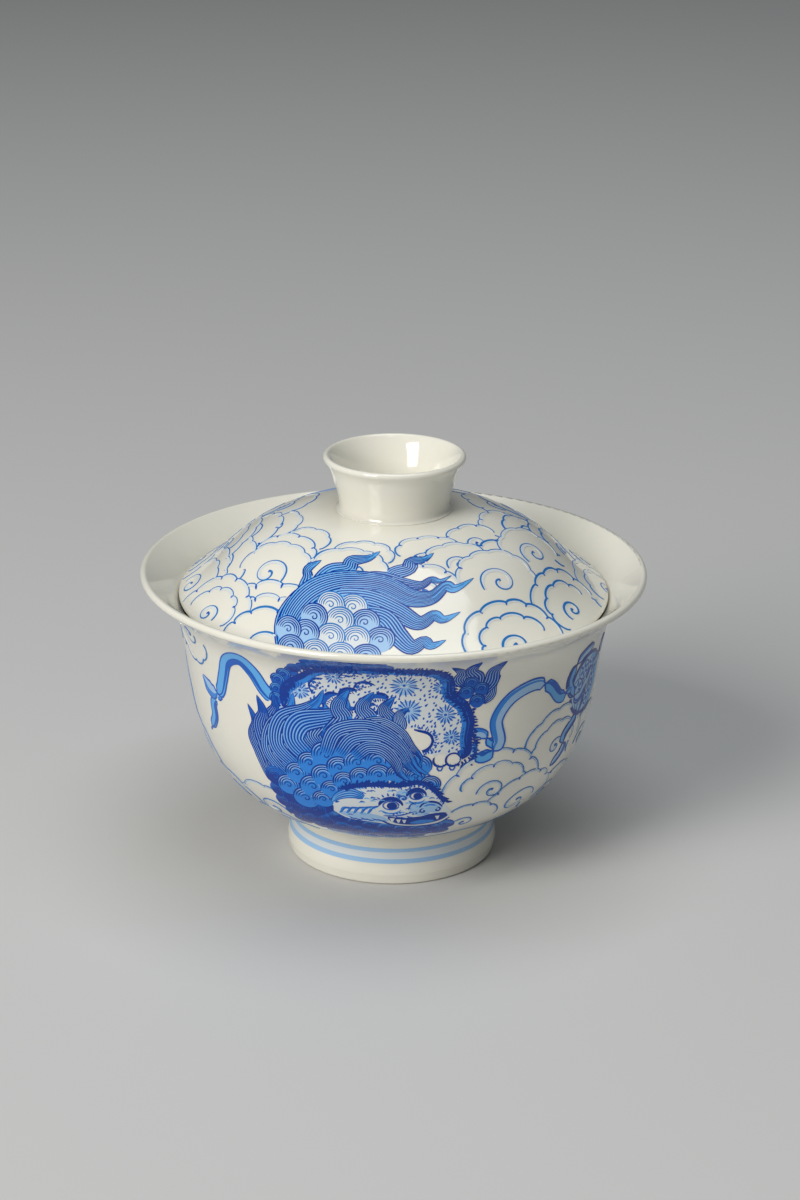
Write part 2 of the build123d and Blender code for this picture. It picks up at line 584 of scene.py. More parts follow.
def arc(centre, radius, start, end, step=0.35):
    """Part of a circle between two angles, in degrees."""
    count = max(4, int(abs(math.radians(end - start)) * radius / step) + 1)
    return centre + radius * np.exp(1j * np.radians(np.linspace(start, end, count)))


def volute(centre, radius, start, turns, core=0.12, step=0.3):
    """A spiral that winds in to its centre; negative turns wind clockwise."""
    count = max(8, int(abs(turns) * 4.2 * radius / step))
    u = np.linspace(0, 1, count)
    return centre + radius * (1 - (1 - core) * u**0.85) * np.exp(
        1j * (math.radians(start) + 2 * math.pi * turns * u)
    )


def beside(path, offset):
    """A path at an offset to the left of another; the offset may vary along it."""
    return path + offset * 1j * np.gradient(path) / np.maximum(abs(np.gradient(path)), 1e-6)


# ---------------------------------------------------------------- clouds
# Round-headed clouds are brushed with one fine point, each as arches that close in on a
# hook. The brush rests at every cusp, so that the cobalt gathers there in a dark tick.

CLOUD_HEIGHT = 0.88  # of a cloud's width
ARCH_GAP = 3.3  # millimetres between one arch of a cloud and the next


def scalloped(path, lobes, bulge, hand):
    """A path that bulges to its left in uneven lobes; also where its cusps are."""
    path = even(path, sum(abs(np.diff(path))) / (lobes * 12))
    widths = np.cumsum([0, *[hand.uniform(0.75, 1.3) for _ in range(lobes)]])
    phase = np.interp(np.linspace(0, widths[-1], len(path)), widths, np.arange(lobes + 1.0))
    cusps = [int(np.argmin(abs(phase - n))) for n in range(1, lobes)]
    return beside(path, bulge * np.sqrt(np.sin(math.pi * (phase % 1)))), cusps


def cloud(paint, radius, hand=1):
    """A cloud head: nested scalloped arches round a hook, with dark cusps and a pale rim."""

    def turned(path):
        path = path.real + 1j * CLOUD_HEIGHT * path.imag
        return path if hand > 0 else -path.conjugate()

    rings = max(1, round(radius / 3.6) - 1)
    for ring in range(rings):
        share = 1 - ARCH_GAP / radius * ring
        lobes = max(3, round(radius * share * 0.42) + 2)
        start = paint.hand.uniform(185, 205) - 8 * ring
        end = paint.hand.uniform(-25, -5) + 14 * ring
        plain = arc(0, radius * share, start, end)
        arch, cusps = scalloped(plain, lobes, 0.35 + 0.045 * radius, paint.hand)
        if ring == 0:
            outer = arch
        paint.line(turned(arch), 0.46, "line", 0.03, 0.12, 0.5)
        paint.line(turned(beside(arch, -0.32)), 0.6, "mist", 0.1, 0.3)
        for cusp in cusps:
            at = arch[cusp]
            paint.line(turned(at * np.linspace(1.02, 0.93, 4)), 0.55, "cobalt", 0.2, 0.6)
    core = max(1.7, radius * (1 - ARCH_GAP / radius * rings) * 0.9)
    hook = volute(-0.04 * radius, core, 200, -1.25)
    paint.line(turned(hook), 0.5, "line", 0.1, 0.02, 0.45)
    paint.line(turned(beside(hook, -0.36)), 0.6, "mist", 0.1, 0.3)
    paint.line(turned(arc(hook[-1], 0.16, 0, 360, 0.12)), 0.4, "cobalt", 0, 0)
    paint.cover(turned(outer))


def cloud_bank(paint, clouds):
    """Clouds from (angle, height, radius, turn, hand), each one behind those before it."""
    for angle, height, radius, turn, hand in clouds:
        paint.stand(angle, height, 1, turn)
        cloud(paint, radius, hand)


def cloud_row(paint, height, radius, count, first, last, stagger=0.0):
    """A row of clouds of uneven size between two angles."""
    for n in range(count):
        angle = first + (last - first) * (n + 0.5 + stagger) / count + paint.hand.uniform(-3, 3)
        paint.stand(angle, height + paint.hand.uniform(-1.5, 1.5), 1, paint.hand.uniform(-22, 22))
        cloud(paint, radius * paint.hand.uniform(0.85, 1.15), 1 if paint.hand.random() < 0.6 else -1)


# ---------------------------------------------------------------- manes and tails
# Hair is a wash of cobalt with finer, darker lines over it, and paler ones scratched in
# between them. It runs out in flames, or rolls up in rows of snail curls.


def lock(paint, points, width, strands=7, fill="mid", ink="deep", taper=0.75, root=0.35):
    """A flame-shaped lock of hair: a wash with fine lines that run together at the tip."""
    spine = flowing(points, 0.42)
    u = np.linspace(0, 1, len(spine))
    half = width / 2 * (1 - u**2.2) ** taper * (root + (1 - root) * np.minimum(1, u / 0.35) ** 0.7)
    shape = np.concatenate([beside(spine, half), beside(spine, -half)[::-1]])
    paint.wash(shape, fill)
    for side in np.linspace(-1, 1, strands):
        edge = abs(side) > 0.99
        stop = len(u) if edge else int(len(u) * paint.hand.uniform(0.8, 0.98))
        path = beside(spine, half * side)[:stop]
        paint.line(path, 0.3 if edge else 0.24, ink, 0.1, 0.35)
    for side in np.linspace(-0.86, 0.86, strands - 1):
        path = beside(spine, half * side)[3 : int(len(u) * 0.8)]
        paint.line(path, 0.13, "pale", 0.3, 0.6)
    paint.cover(shape)


def curl(paint, centre, radius, start=200, fill="mid", ink="deep", rounds=4, shine="pale"):
    """A snail curl of the mane: arches that close in on a small volute."""
    disc = arc(centre, radius, 0, 355, 0.5)
    paint.wash(disc, fill, grain=1.4)
    for n in range(rounds):
        share = 1 - 0.8 * n / rounds
        if n == rounds - 1:
            path = volute(centre, radius * share, start, -1.2, step=0.22)
        else:
            path = arc(centre, radius * share, start, start - (235 - 12 * n), 0.3)
        paint.line(path, 0.3 if n == 0 else 0.22, ink, 0.1, 0.25)
        if shine and n < rounds - 1:
            inner = arc(centre, radius * (share - 0.1), start - 30, start - 190, 0.3)
            paint.line(inner, 0.13, shine, 0.2, 0.3)
    paint.cover(disc)


def curl_row(paint, points, radius, **looks):
    """Curls side by side along a path, each one a little over the next."""
    path = flowing(points, 0.2)
    for centre in even(path, radius * 1.55):
        size = radius * paint.hand.uniform(0.9, 1.08)
        curl(paint, centre, size, start=paint.hand.uniform(180, 215), **looks)


# ---------------------------------------------------------------- ribbons and brocade ball
# Silk ribbons are two fine edges, with a shaded band that changes sides wherever the silk
# turns over. The lion's ball is bound with them and covered in a net of petals.


def ribbon(paint, points, width, turns, tone="cobalt", shade="mid"):
    """A silk ribbon that turns over where its turn changes sign: thin edges, one side shaded."""
    spine = flowing(points, 0.5)
    u = np.linspace(0, 1, len(spine))
    knots = np.interp(u, np.linspace(0, 1, len(turns)), turns)
    half = width / 2 * np.clip(knots * 2.2, -1, 1) * np.minimum(1, (1 - u) / 0.08 + 0.15)
    left, right = beside(spine, half), beside(spine, -half)
    paint.line(left, 0.34, tone, 0, 0.05)
    paint.line(right, 0.34, tone, 0, 0.05)
    borders = [0, *[i + 1 for i in np.flatnonzero(np.diff(np.sign(half)))], len(half)]
    for first, last in zip(borders, borders[1:]):
        if last - first < 4:
            continue
        back = half[(first + last) // 2] < 0
        a, b = left[first:last], right[first:last]
        heavy, far = (b, a) if back else (a, b)
        paint.line(heavy + (far - heavy) * 0.25, width * 0.36, tone if back else shade, 0.3, 0.5)
        shape = np.concatenate([a, b[::-1]])
        paint.wash(shape, "light" if back else "pale")
        paint.cover(shape)


def brocade_ball(paint, radius):
    """A ball under a net of petals, tied up with looped ribbon."""
    for loop in (
        [0, -3.4 - 2.2j, -7.6 + 2.4j, -4.6 + 7j, 0.4 + 8.2j],
        [0, 3 + 3j, 7 + 3.6j, 8.4 + 7.6j],
        [-1 - 1j, -2.4 - 6j, -6 - 9.4j, -5 - 13j, -7.6 - 16j],
    ):
        ribbon(paint, loop, 2.2, [1, 0.7, -1, -0.6, 1, 0.4], tone="deep", shade="cobalt")
    shell = arc(0, radius, 0, 357, 0.6)
    for row in range(-2, 3):
        for place in range(-2, 3):
            at = (place + row % 2 / 2) * radius * 0.62 + 1j * row * radius * 0.53
            if abs(at) < radius * 0.95:
                for petal in range(6):
                    tip = at + np.exp(1j * math.radians(petal * 60 + 30)) * radius * 0.27
                    paint.line(np.linspace(at + (tip - at) * 0.25, tip, 4), 0.75, "cobalt", 0.4, 0.6)
                paint.line(arc(at, radius * 0.31, 0, 360, 0.4), 0.26, "deep", 0, 0)
    paint.line(shell, 0.8, "deep", 0, 0)
    paint.line(arc(0, radius * 0.86, -75, 80, 0.4), radius * 0.3, "light", 0.3, 0.4)
    paint.wash(shell, "pale")
    paint.cover(shell)


# ---------------------------------------------------------------- guardian lion
# The lion crouches with its head down. Its mane and tail are dark, in locks and curls, and
# its pelt is bare glaze with rosettes and short hairs brushed on it.


HAIRS = 1700  # short hairs tried on the pelt; those outside it or on another mark are left out
WHISKERS = 46  # short strokes that shade the face


def starburst(paint, centre, radius, rays):
    """A rosette of the pelt: short rays round a dot, each heavier at its outer end."""
    for turn in np.linspace(0, 360, rays, endpoint=False):
        aim = np.exp(1j * math.radians(turn + paint.hand.uniform(-5, 5)))
        inner, outer = paint.hand.uniform(0.22, 0.36), paint.hand.uniform(0.85, 1.05)
        path = centre + aim * radius * np.linspace(outer, inner, 5)
        paint.line(path, 0.42, "cobalt", 0.1, 0.95, 0.2)
    paint.line(arc(centre, 0.16, 0, 360, 0.12), 0.3, "cobalt", 0, 0)


def ticks(paint, path, length, width, tone, spread=0.0, lean=90.0, gap=0.5):
    """Short strokes set side by side along a path, as where fur meets an outline."""
    path = even(path, gap)
    aim = np.gradient(path) / abs(np.gradient(path))
    for at, along in zip(path, aim):
        away = along * np.exp(1j * math.radians(lean + paint.hand.uniform(-25, 25)))
        root = at + away * paint.hand.uniform(0, 1) * spread
        tip = root + away * length * paint.hand.uniform(0.6, 1.25)
        paint.line(np.linspace(root, tip, 4), width * paint.hand.uniform(0.7, 1.2), tone, 0.2, 0.6)


def lion_head(paint):
    """A broad mask, low in front, with a heavy brow, a round nose and bared teeth."""
    for at, wide in ((1.3 - 16.2j, 0.5), (2.5 - 16.6j, 0.45), (3.6 - 16.8j, 0.4), (10 - 16.0j, 0.45)):
        tooth = np.array([at - wide, at + wide, at + 0.3 * wide - 1.2j, at - 0.3 * wide - 1.2j])
        paint.wash(tooth, "mist", 3)
        paint.cover(tooth)
    nose = closed([
        6.3 - 13.6j, 7 - 12.2j, 8.6 - 11.8j, 10.2 - 12.3j,
        11 - 13.6j, 9.8 - 14.9j, 8.6 - 14.6j, 7.2 - 15j,
    ])
    paint.line(volute(7.2 - 14.1j, 0.75, 80, 1.1, step=0.2), 0.36, "deep")
    paint.line(volute(10 - 13.9j, 0.75, 100, -1.1, step=0.2), 0.36, "deep")
    paint.line(flowing([6.6 - 13j, 7.2 - 12j, 8.6 - 11.5j, 10.1 - 12j, 11 - 13.2j]), 0.5, "deep", floor=0.5)
    paint.line(flowing([7.4 - 12.7j, 8.6 - 12.3j, 9.8 - 12.7j]), 0.5, "mid")
    paint.wash(nose, "pale", 2)
    paint.cover(nose)
    mouth = closed([
        0.4 - 15.9j, 3.4 - 16.3j, 6.6 - 16.0j, 8.8 - 15.3j, 11.4 - 15.3j,
        12 - 16.4j, 9.8 - 18j, 5.6 - 18.8j, 2 - 18j,
    ])
    tongue = closed([4.6 - 18j, 6.4 - 17.1j, 8.8 - 17.2j, 9.4 - 17.9j, 6.4 - 18.5j])
    paint.wash(tongue, "mid", 3)
    paint.cover(tongue)
    paint.wash(mouth, "deep", 2)
    paint.line(mouth[:24], 0.4, "deep", 0, 0)
    paint.cover(mouth)
    for eye, wide in ((1.1 - 12.3j, 1.5), (6 - 9.7j, 1.25)):
        pupil = arc(eye + 0.2 - 0.1j, wide * 0.66, 0, 350, 0.25)
        paint.wash(pupil, "deep", 3, 0.6)
        paint.cover(pupil)
        white = arc(eye, wide, 0, 350, 0.3)
        white = eye + (white - eye).real + 0.8j * (white - eye).imag
        paint.line(white, 0.3, "cobalt", 0, 0)
        paint.cover(white)
        paint.line(arc(eye - 0.3j, wide * 1.5, 172, 8, 0.3), 1.0, "deep", 0.2, 0.4)
        for n in range(6):
            lash = np.exp(1j * math.radians(40 + 20 * n)) * wide
            paint.line(eye + lash * np.linspace(1.75, 2.3, 4), 0.42, "cobalt", 0.2, 0.6)
        paint.line(arc(eye - 0.2j, wide * 1.45, 215, 330, 0.3), 0.5, "mid")
    paint.line(volute(3.5 - 10.3j, 0.9, 200, -1.2, step=0.2), 0.36, "cobalt")
    paint.line(flowing([4.4 - 13.6j, 4.9 - 12j, 6 - 11.3j]), 0.34, "cobalt")
    paint.line(flowing([-0.4 - 15.4j, 2.6 - 15.3j, 4.8 - 14.5j, 6 - 14j]), 0.36, "cobalt")
    jaw = flowing([-0.6 - 17.2j, 1.6 - 18.8j, 5.6 - 19.6j, 10 - 18.9j, 12.4 - 17j])
    paint.line(jaw, 0.6, "deep", floor=0.5)
    lock(paint, [-4 - 10.2j, -6.4 - 9.4j, -8.8 - 10.4j, -10.4 - 12.4j], 2.6, 5, fill="light", ink="cobalt")
    for n in range(5):
        root = -1.6 - n * 1.35 - 14.4j - 0.12j * n
        cheek = flowing([root + 0.4 + 1.9j - 0.2j * n, root - 0.9 + 1.2j, root - 1.8 - 0.6j])
        paint.line(cheek, 0.75, "mid", 0.4, 0.7)
        crease = flowing([root + 0.6 + 2.1j - 0.2j * n, root - 0.6 + 1.4j, root - 1.5 - 0.4j])
        paint.line(crease, 0.26, "cobalt")
    for n in range(9):
        root = 1.6 + 0.62 * n - 14.9j + 0.14j * (n % 3) * 2
        paint.line(arc(root, 0.13, 0, 360, 0.1), 0.2, "cobalt", 0, 0)
    for n in range(14):
        root = -8 + 1.1 * n - 16.6j + (0.9j if n > 6 else 0) + 0.25j * (n % 2)
        paint.line(flowing([root, root + 0.5 - 0.5j, root + 1.5 - 0.6j]), 0.4, "cobalt")
    brow = flowing([-10 - 12.4j, -7.4 - 8.2j, -2.4 - 6.9j, 2.6 - 7.0j, 6.6 - 6.4j, 9.4 - 8.4j, 11.4 - 12j])
    ticks(paint, brow, 1.0, 0.55, "deep", 0.3, 60, 0.36)
    ticks(paint, brow, 0.8, 0.4, "cobalt", 0.3, -70, 0.5)
    paint.line(brow, 1.1, "deep", 0.1, 0.2, 0.4)
    for n in range(WHISKERS):
        at = complex(paint.hand.uniform(-8, 9), paint.hand.uniform(-16, -8))
        paint.line(flowing([at, at + 0.5 + 0.3j, at + 1.1]), 0.34, "light" if n % 3 else "cobalt", 0.3, 0.7)
    for shade in (
        closed([-9 - 15j, -4 - 14.6j, 0 - 16j, 0 - 17.6j, -6 - 17j]),
        arc(6.8 - 13.4j, 2.2, 0, 350, 0.6),
        arc(3.4 - 9.4j, 1.4, 0, 350, 0.6),
    ):
        paint.wash(shade, "pale", 1)
    chin = flowing([
        11.8 - 13j, 12.6 - 15j, 12.2 - 17.2j, 9.6 - 19j,
        5 - 19.6j, -1 - 18j, -7 - 17j, -10 - 15j,
    ])
    face = np.concatenate([brow, chin])
    paint.wash(face, "mist", 0)
    paint.cover(face)


def lion_mane(paint):
    """Long strands that fall over the brow, and curls that close round the head."""
    for points, width in (
        ([-5.6 - 0.6j, -3.2 + 1.6j, -0.2 + 1.2j, 2 - 1.4j, 3 - 4.2j, 5 - 6.2j], 3.0),
        ([-8.6 - 0.4j, -6 + 3.2j, -1.2 + 3.8j, 2.6 + 1.2j, 4.8 - 2.6j, 7.2 - 5.2j], 3.2),
        ([-11.4 - 0.6j, -9.2 + 4.6j, -3.4 + 6.2j, 1.4 + 4j, 4.4 + 0.2j, 6.2 - 3j, 8.8 - 5j], 3.2),
        ([-6 + 6j, -1 + 7.2j, 2.8 + 5j, 4.8 + 2j, 6.8 - 0.6j, 6.4 - 2.6j], 2.4),
    ):
        lock(paint, points, width, 7, taper=0.8, root=0.8)
    curl_row(paint, [8.6 - 7.0j, 5 - 4.6j, 0 - 4.4j, -5 - 5.2j, -9.4 - 8j, -12 - 12j], 2.2)
    curl_row(paint, [6.4 - 2.6j, 1.8 - 1.4j, -3.6 - 1.6j, -9 - 3.6j, -13.2 - 7.6j, -15.6 - 12.6j], 2.6)
    curl_row(paint, [0.6 + 1j, -5 + 1.2j, -11 - 0.8j, -16.4 - 5j, -19.4 - 10j], 2.7)
    for row, (points, now) in enumerate((
        ([-9 - 17j, -4 - 18.6j, 1 - 20j, 6 - 20.6j, 11.6 - 19.8j], 1.9),
        ([-14 - 15.6j, -10.4 - 20j, -4 - 22j, 3 - 23j, 10 - 22.6j], 2.3),
        ([-18.6 - 12.6j, -15 - 19j, -9.4 - 23.6j, -2.4 - 25.4j, 5 - 25.6j], 2.4),
        ([-22.4 - 8.6j, -20.6 - 15j, -16.4 - 20.6j], 2.3),
    )):
        curl_row(paint, points, now, fill="deep", ink="cobalt", shine="mid" if row else "light")
    mass = closed([
        -23.4 - 8.4j, -18 - 8j, -12 - 9j, -9 - 15j, 0 - 18.6j, 10 - 18j, 12.4 - 20j,
        10 - 23.4j, 4 - 26j, -4 - 26j, -12 - 23.6j, -18 - 19j, -22.4 - 12j,
    ])
    paint.wash(mass, "deep", 0)
    paint.cover(mass)


def lion_shoulder(paint):
    """Long locks that sweep over the shoulder and end in flames."""
    for points, width, root in (
        ([0.4 + 4.6j, 2.8 + 6.4j, 2.6 + 8.6j, 4.6 + 10.4j], 2.6, 0.6),
        ([-2.6 + 4.6j, 0.8 + 7.4j, -0.2 + 9.8j, 1.8 + 12.8j], 3.4, 0.6),
        ([-6.6 + 4.6j, -3 + 7.6j, -4.2 + 10.2j, -2 + 13.8j], 3.8, 0.6),
        ([-11 + 3.6j, -7.8 + 7.2j, -8.8 + 10j, -6.6 + 14j], 4.0, 0.6),
        ([-15 - 2j, -18 + 1.4j, -16.4 + 5.4j, -11 + 7.4j, -7.6 + 9j, -7 + 12.2j], 5.2, 0.7),
        ([-17.4 - 4.6j, -21.6 - 0.6j, -20.4 + 5j, -15.4 + 8.2j, -12.8 + 10.6j, -11.6 + 13.4j], 4.6, 0.7),
        ([-19.4 - 7j, -23.4 - 2.6j, -22.6 + 3j, -18.6 + 7.6j, -17.8 + 11.6j], 4.2, 0.7),
    ):
        lock(paint, points, width, 8, root=root)
    lock(paint, [-12.4 + 0.4j, -14.4 + 3j, -12.8 + 5.6j, -10.8 + 7.4j, -11.4 + 10.4j], 3.6, 8, root=0.7)
    curl_row(paint, [-14 + 2j, -17.6 - 1.4j, -20.6 - 6.2j], 2.2)
    under = closed([-20 - 4j, -16 + 3j, -10 + 5j, -4 + 4j, 2 + 1j, 2 - 4j, -6 - 7j, -15 - 8j])
    paint.wash(under, "cobalt", 0)
    paint.cover(under)
    for points, width in (
        ([-22.4 - 8j, -24 - 2j, -25.6 + 2.4j, -24.8 + 5.6j, -26.2 + 9j], 4.6),
        ([-21 - 5j, -21.8 + 0.8j, -23 + 4.8j, -21.8 + 7.6j, -22.4 + 10.6j], 4.0),
        ([-23.6 - 10j, -25.6 - 4j, -27.4 - 0.4j, -26.8 + 3j, -28.6 + 6.4j], 3.4),
    ):
        lock(paint, points, width, 7, fill="cobalt")


def lion_tail(paint):
    """A tail that stands up as a flame from a knot of curls."""
    for centre in (15.4 + 12.8j, 17.6 + 10.6j, 18.4 + 13.2j, 16.4 + 15j):
        curl(paint, centre, 1.5, rounds=3, fill="cobalt", shine="light")
    for points, width in (
        ([17 + 13j, 17.6 + 16j, 16.4 + 18.6j, 18.4 + 22j], 3.0),
        ([18.4 + 12j, 20.4 + 14.6j, 21 + 17.4j, 23.6 + 20.4j], 3.2),
        ([15.4 + 14j, 14 + 16j, 14.6 + 18j, 12.6 + 20.6j], 2.4),
        ([18 + 10j, 20.2 + 11.4j, 20.8 + 13.6j, 22.4 + 15.8j], 2.2),
    ):
        lock(paint, points, width, 6, fill="cobalt")


def lion_pelt(paint):
    """A white pelt with rosettes and stripes, edged with dark fur; gives the back's outline."""
    back = flowing([
        -20.4 + 8j, -20 + 12.6j, -16 + 16.4j, -12.6 + 19j, -5 + 20.8j, 3 + 20.6j, 9.2 + 19.6j,
        12.6 + 16.6j, 13 + 13j, 15.4 + 10.4j, 16.8 + 6.6j, 16.4 + 2.8j, 16.4 - 0.6j, 14 - 2.4j,
    ])
    belly = flowing([
        4.8 - 2.2j, 4.4 - 0.9j, 6 + 0.2j, 8.2 + 1.3j, 9 + 3j, 8.2 + 4.6j,
        6 + 5.4j, 3 + 6.4j, -4 + 8j, -10 + 6j, -16 + 6j, -20.4 + 8j,
    ])
    pelt = np.concatenate([back, belly[:-1]])
    for toe in range(4):
        root = 13 - 2.4 * toe - 1.6j + 0.1j * toe
        hook = (-0.5 - 0.9j, -0.7 - 1.9j, -0.1 - 2.5j, 0.4 - 1.6j, 0.4 - 0.9j)
        claw = flowing([root + point for point in hook])
        paint.line(claw, 0.3, "cobalt")
        paw = arc(root, 1.45, 0, 355, 0.3)
        paint.line(paw[12:] if toe else paw, 0.42, "deep", 0.1, 0.2)
        paint.cover(paw)
    rosettes = (
        (3.6 + 15.4j, 2.9), (4.4 + 9.6j, 2.8), (-9.6 + 17j, 2.1), (-16.4 + 12.4j, 2.2),
        (10.6 + 14.6j, 1.9), (11.4 + 8.4j, 2.2), (12.6 + 3.4j, 1.9), (-2.2 + 18.6j, 1.5),
    )
    for centre, radius in rosettes:
        starburst(paint, centre, radius, int(9 + radius * 3))
    for root, lean in (
        (-4.2 + 15.4j, 20), (-7.4 + 13.4j, 35), (-1 + 12.8j, -5), (-4 + 11j, 15),
        (-10.8 + 11.8j, 45), (-7 + 9.4j, 30), (-13.6 + 14.6j, 60), (-12.6 + 8.4j, 50),
        (-6.6 + 18.4j, 15), (-0.4 + 9.4j, 0),
    ):
        bow = np.exp(1j * math.radians(lean + 180))
        stripe = flowing([root + bow * z for z in (-2.3 + 0.9j, -0.9 - 0.5j, 0.9 - 0.5j, 2.4 + 1.1j)])
        under = beside(stripe, 1.2 * np.sin(np.linspace(0, math.pi, len(stripe))) ** 0.7)
        paint.wash(np.concatenate([stripe, under[::-1]]), "cobalt", 1, 0.8)
        paint.line(stripe, 0.6, "deep", 0.3, 0.5)
        ticks(paint, under[2:-2], 0.6, 0.3, "deep", 0.1, 90, 0.45)
    flat_pelt = paint.put(pelt)
    marks = [(c, r * 1.04) for c, r in rosettes]
    for _ in range(HAIRS):
        at = complex(paint.hand.uniform(-20, 17), paint.hand.uniform(-2, 21))
        if inside(paint.put([at]), flat_pelt)[0] and all(abs(at - c) > r for c, r in marks):
            marks.append((at, 0.62))
            aim = np.exp(1j * paint.hand.uniform(0.6, 1.5)) * paint.hand.uniform(0.2, 0.42)
            paint.line(np.linspace(at - aim, at + aim, 4), 0.46, "cobalt", 0.3, 0.7)
    paint.line(belly[: len(belly) // 3], 0.6, "deep", 0.05, 0.2, 0.5)
    ticks(paint, beside(belly[: len(belly) // 3], -0.3), 0.8, 0.36, "cobalt", 0.2, -95, 0.5)
    ticks(paint, beside(back, -0.6), 1.2, 0.55, "deep", 0.6, -110, 0.36)
    ticks(paint, beside(back, -1.4), 0.6, 0.34, "cobalt", 0.6, -100, 0.5)
    paint.line(beside(back, -0.5), 1.5, "deep", 0.05, 0.1, 0.5)
    paint.line(beside(back, -1.5), 1.3, "mid", 0.05, 0.1, 0.5)
    for centre, radius in rosettes:
        paint.wash(arc(centre, radius * 0.8, 0, 350, 0.8), "pale", 1)
    paint.wash(pelt, "mist", 0)
    paint.cover(pelt)
    thigh = flowing([16.6 + 4j, 17 + 1j, 16.4 - 1.6j, 14.6 - 3j])
    ticks(paint, thigh, 1.2, 0.6, "deep", 0.4, 60, 0.4)
    return back


def lion_crest(paint, back):
    """A crest of dark curls along the spine."""
    for points in (
        [-17.4 + 18j, -12.6 + 20.6j, -6 + 21.6j, 0.4 + 21.6j],
        [-14.6 + 21.6j, -8 + 23.2j, -1 + 23.4j],
    ):
        curl_row(paint, points, 1.5, fill="deep", ink="cobalt", rounds=3, shine="mid")
    curl_row(paint, [-21.6 + 9.4j, -21 + 14j, -18 + 16.8j], 1.5, fill="cobalt", rounds=3, shine="light")
    ticks(paint, beside(back, 0.1), 0.8, 0.5, "deep", 0.2, 70, 0.7)


# ---------------------------------------------------------------- painting on the bowl
# The wall of the bowl carries a lion in front and its mate behind. Each plays with a
# brocade ball on a ribbon, and clouds fill the rest. It is brushed before the glaze goes on.
# Places are given as degrees round the axis from the front, and millimetres up the wall.

# In millimetres
OUT = 70.0  # rays that feel for the wall start this far from the axis
WALL_FOOT = 10.0  # height at which the wall leaves the foot
BARE_LIP = 1.4  # height of the lip that stays unpainted

wall_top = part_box("bowl")[1].z / MM - BARE_LIP
wall_heights = np.arange(WALL_FOOT, wall_top, 1.6)
bowl_outline = Outline("bowl", [OUT + 1j * z for z in wall_heights], True)
bowl_painting = Painting("bowl", "bowl", bowl_outline, 11)


def lion_group(paint, angle, size=1.0):
    """The lion, the ribbons that it trails, and the ball at the end of one of them."""
    paint.stand(angle, 35, size)
    lion_head(paint)
    lion_mane(paint)
    lion_shoulder(paint)
    lion_tail(paint)
    back = lion_pelt(paint)
    lion_crest(paint, back)
    to_the_ball = [
        16 + 0.4j, 19 - 2j, 22.4 + 0.4j, 21.8 + 5.6j, 25 + 9.8j,
        30.6 + 11.4j, 35 + 9.6j, 38 + 6.4j, 42 + 7j,
    ]
    ribbon(paint, to_the_ball, 2.6, [1, -1, 1, 1, 1, 1, 1, -1, -1, 1])
    ribbon(paint, [15 + 4j, 18.6 + 3.4j, 20.4 + 1.2j, 24 - 1.4j], 1.8, [0.6, 1, -1, 0.2])
    from_the_back = [
        -16 + 8.4j, -20 + 8.2j, -24 + 10.4j, -27 + 14j, -30.4 + 16.2j,
        -34 + 14.4j, -35.6 + 10j, -37 + 6.4j, -40 + 5.4j, -43.6 + 7.6j,
    ]
    ribbon(paint, from_the_back, 2.9, [1, 1, -1, -1, -1, -1, -1, -1, 1, 0.5])
    ribbon(paint, [-37 + 5.8j, -39.6 + 3j, -39.6 - 0.4j, -42 - 4.4j], 2.2, [1, -1, -1, 0.3])
    paint.stand(angle + size * 67, 41, size)
    brocade_ball(paint, 6.4)


lion_group(bowl_painting, -2)
lion_group(bowl_painting, 178, 0.94)
cloud_bank(
    bowl_painting,
    [
        (33, 1.5, 8, 12, 1),
        (52, 4, 7, -20, 1),
        (25, 15, 6.5, 25, 1),
        (43, 18, 8.5, 20, -1),
        (62, 16, 8, -8, 1),
        (31, 24, 10.5, -14, 1),
        (52, 30, 9.5, 6, -1),
        (73, 27, 8, -14, 1),
        (-48, 7, 7, 8, -1),
        (-64, 14, 7.5, -10, 1),
        (-44, 15, 8, 14, -1),
        (-80, 22, 8.5, 0, 1),
        (-66, 51, 6.5, 168, 1),
        (-84, 46, 7, 8, 1),
        (-92, 34, 9, -12, -1),
    ],
)
for first, last in ((86, 150), (206, 262)):
    for height, radius, stagger in ((2, 7.5, 0), (12, 8.5, 0.4), (23, 9, 0), (34, 8.5, 0.4), (44, 7, 0)):
        cloud_row(bowl_painting, height, radius, 3, first, last, stagger)
bowl_painting.finish()


# ---------------------------------------------------------------- painting on the lid
# The dome of the lid carries a great tail in front and another behind, which sweep up from
# the edge, with clouds all round. It is brushed like the bowl, up to the foot of the knob.

# In millimetres
ABOVE = 100.0  # rays that feel for the dome start at this height
BARE_EDGE = 0.15  # width of the edge that the painting leaves free
KNOB_FOOT = 12.4  # radius at which the painting meets the knob

dome_radii = np.linspace(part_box("lid")[1].x / MM - BARE_EDGE, KNOB_FOOT, 26)
lid_outline = Outline("lid", [r + 1j * ABOVE for r in dome_radii], False)
lid_painting = Painting("lid", "lid", lid_outline, 5)


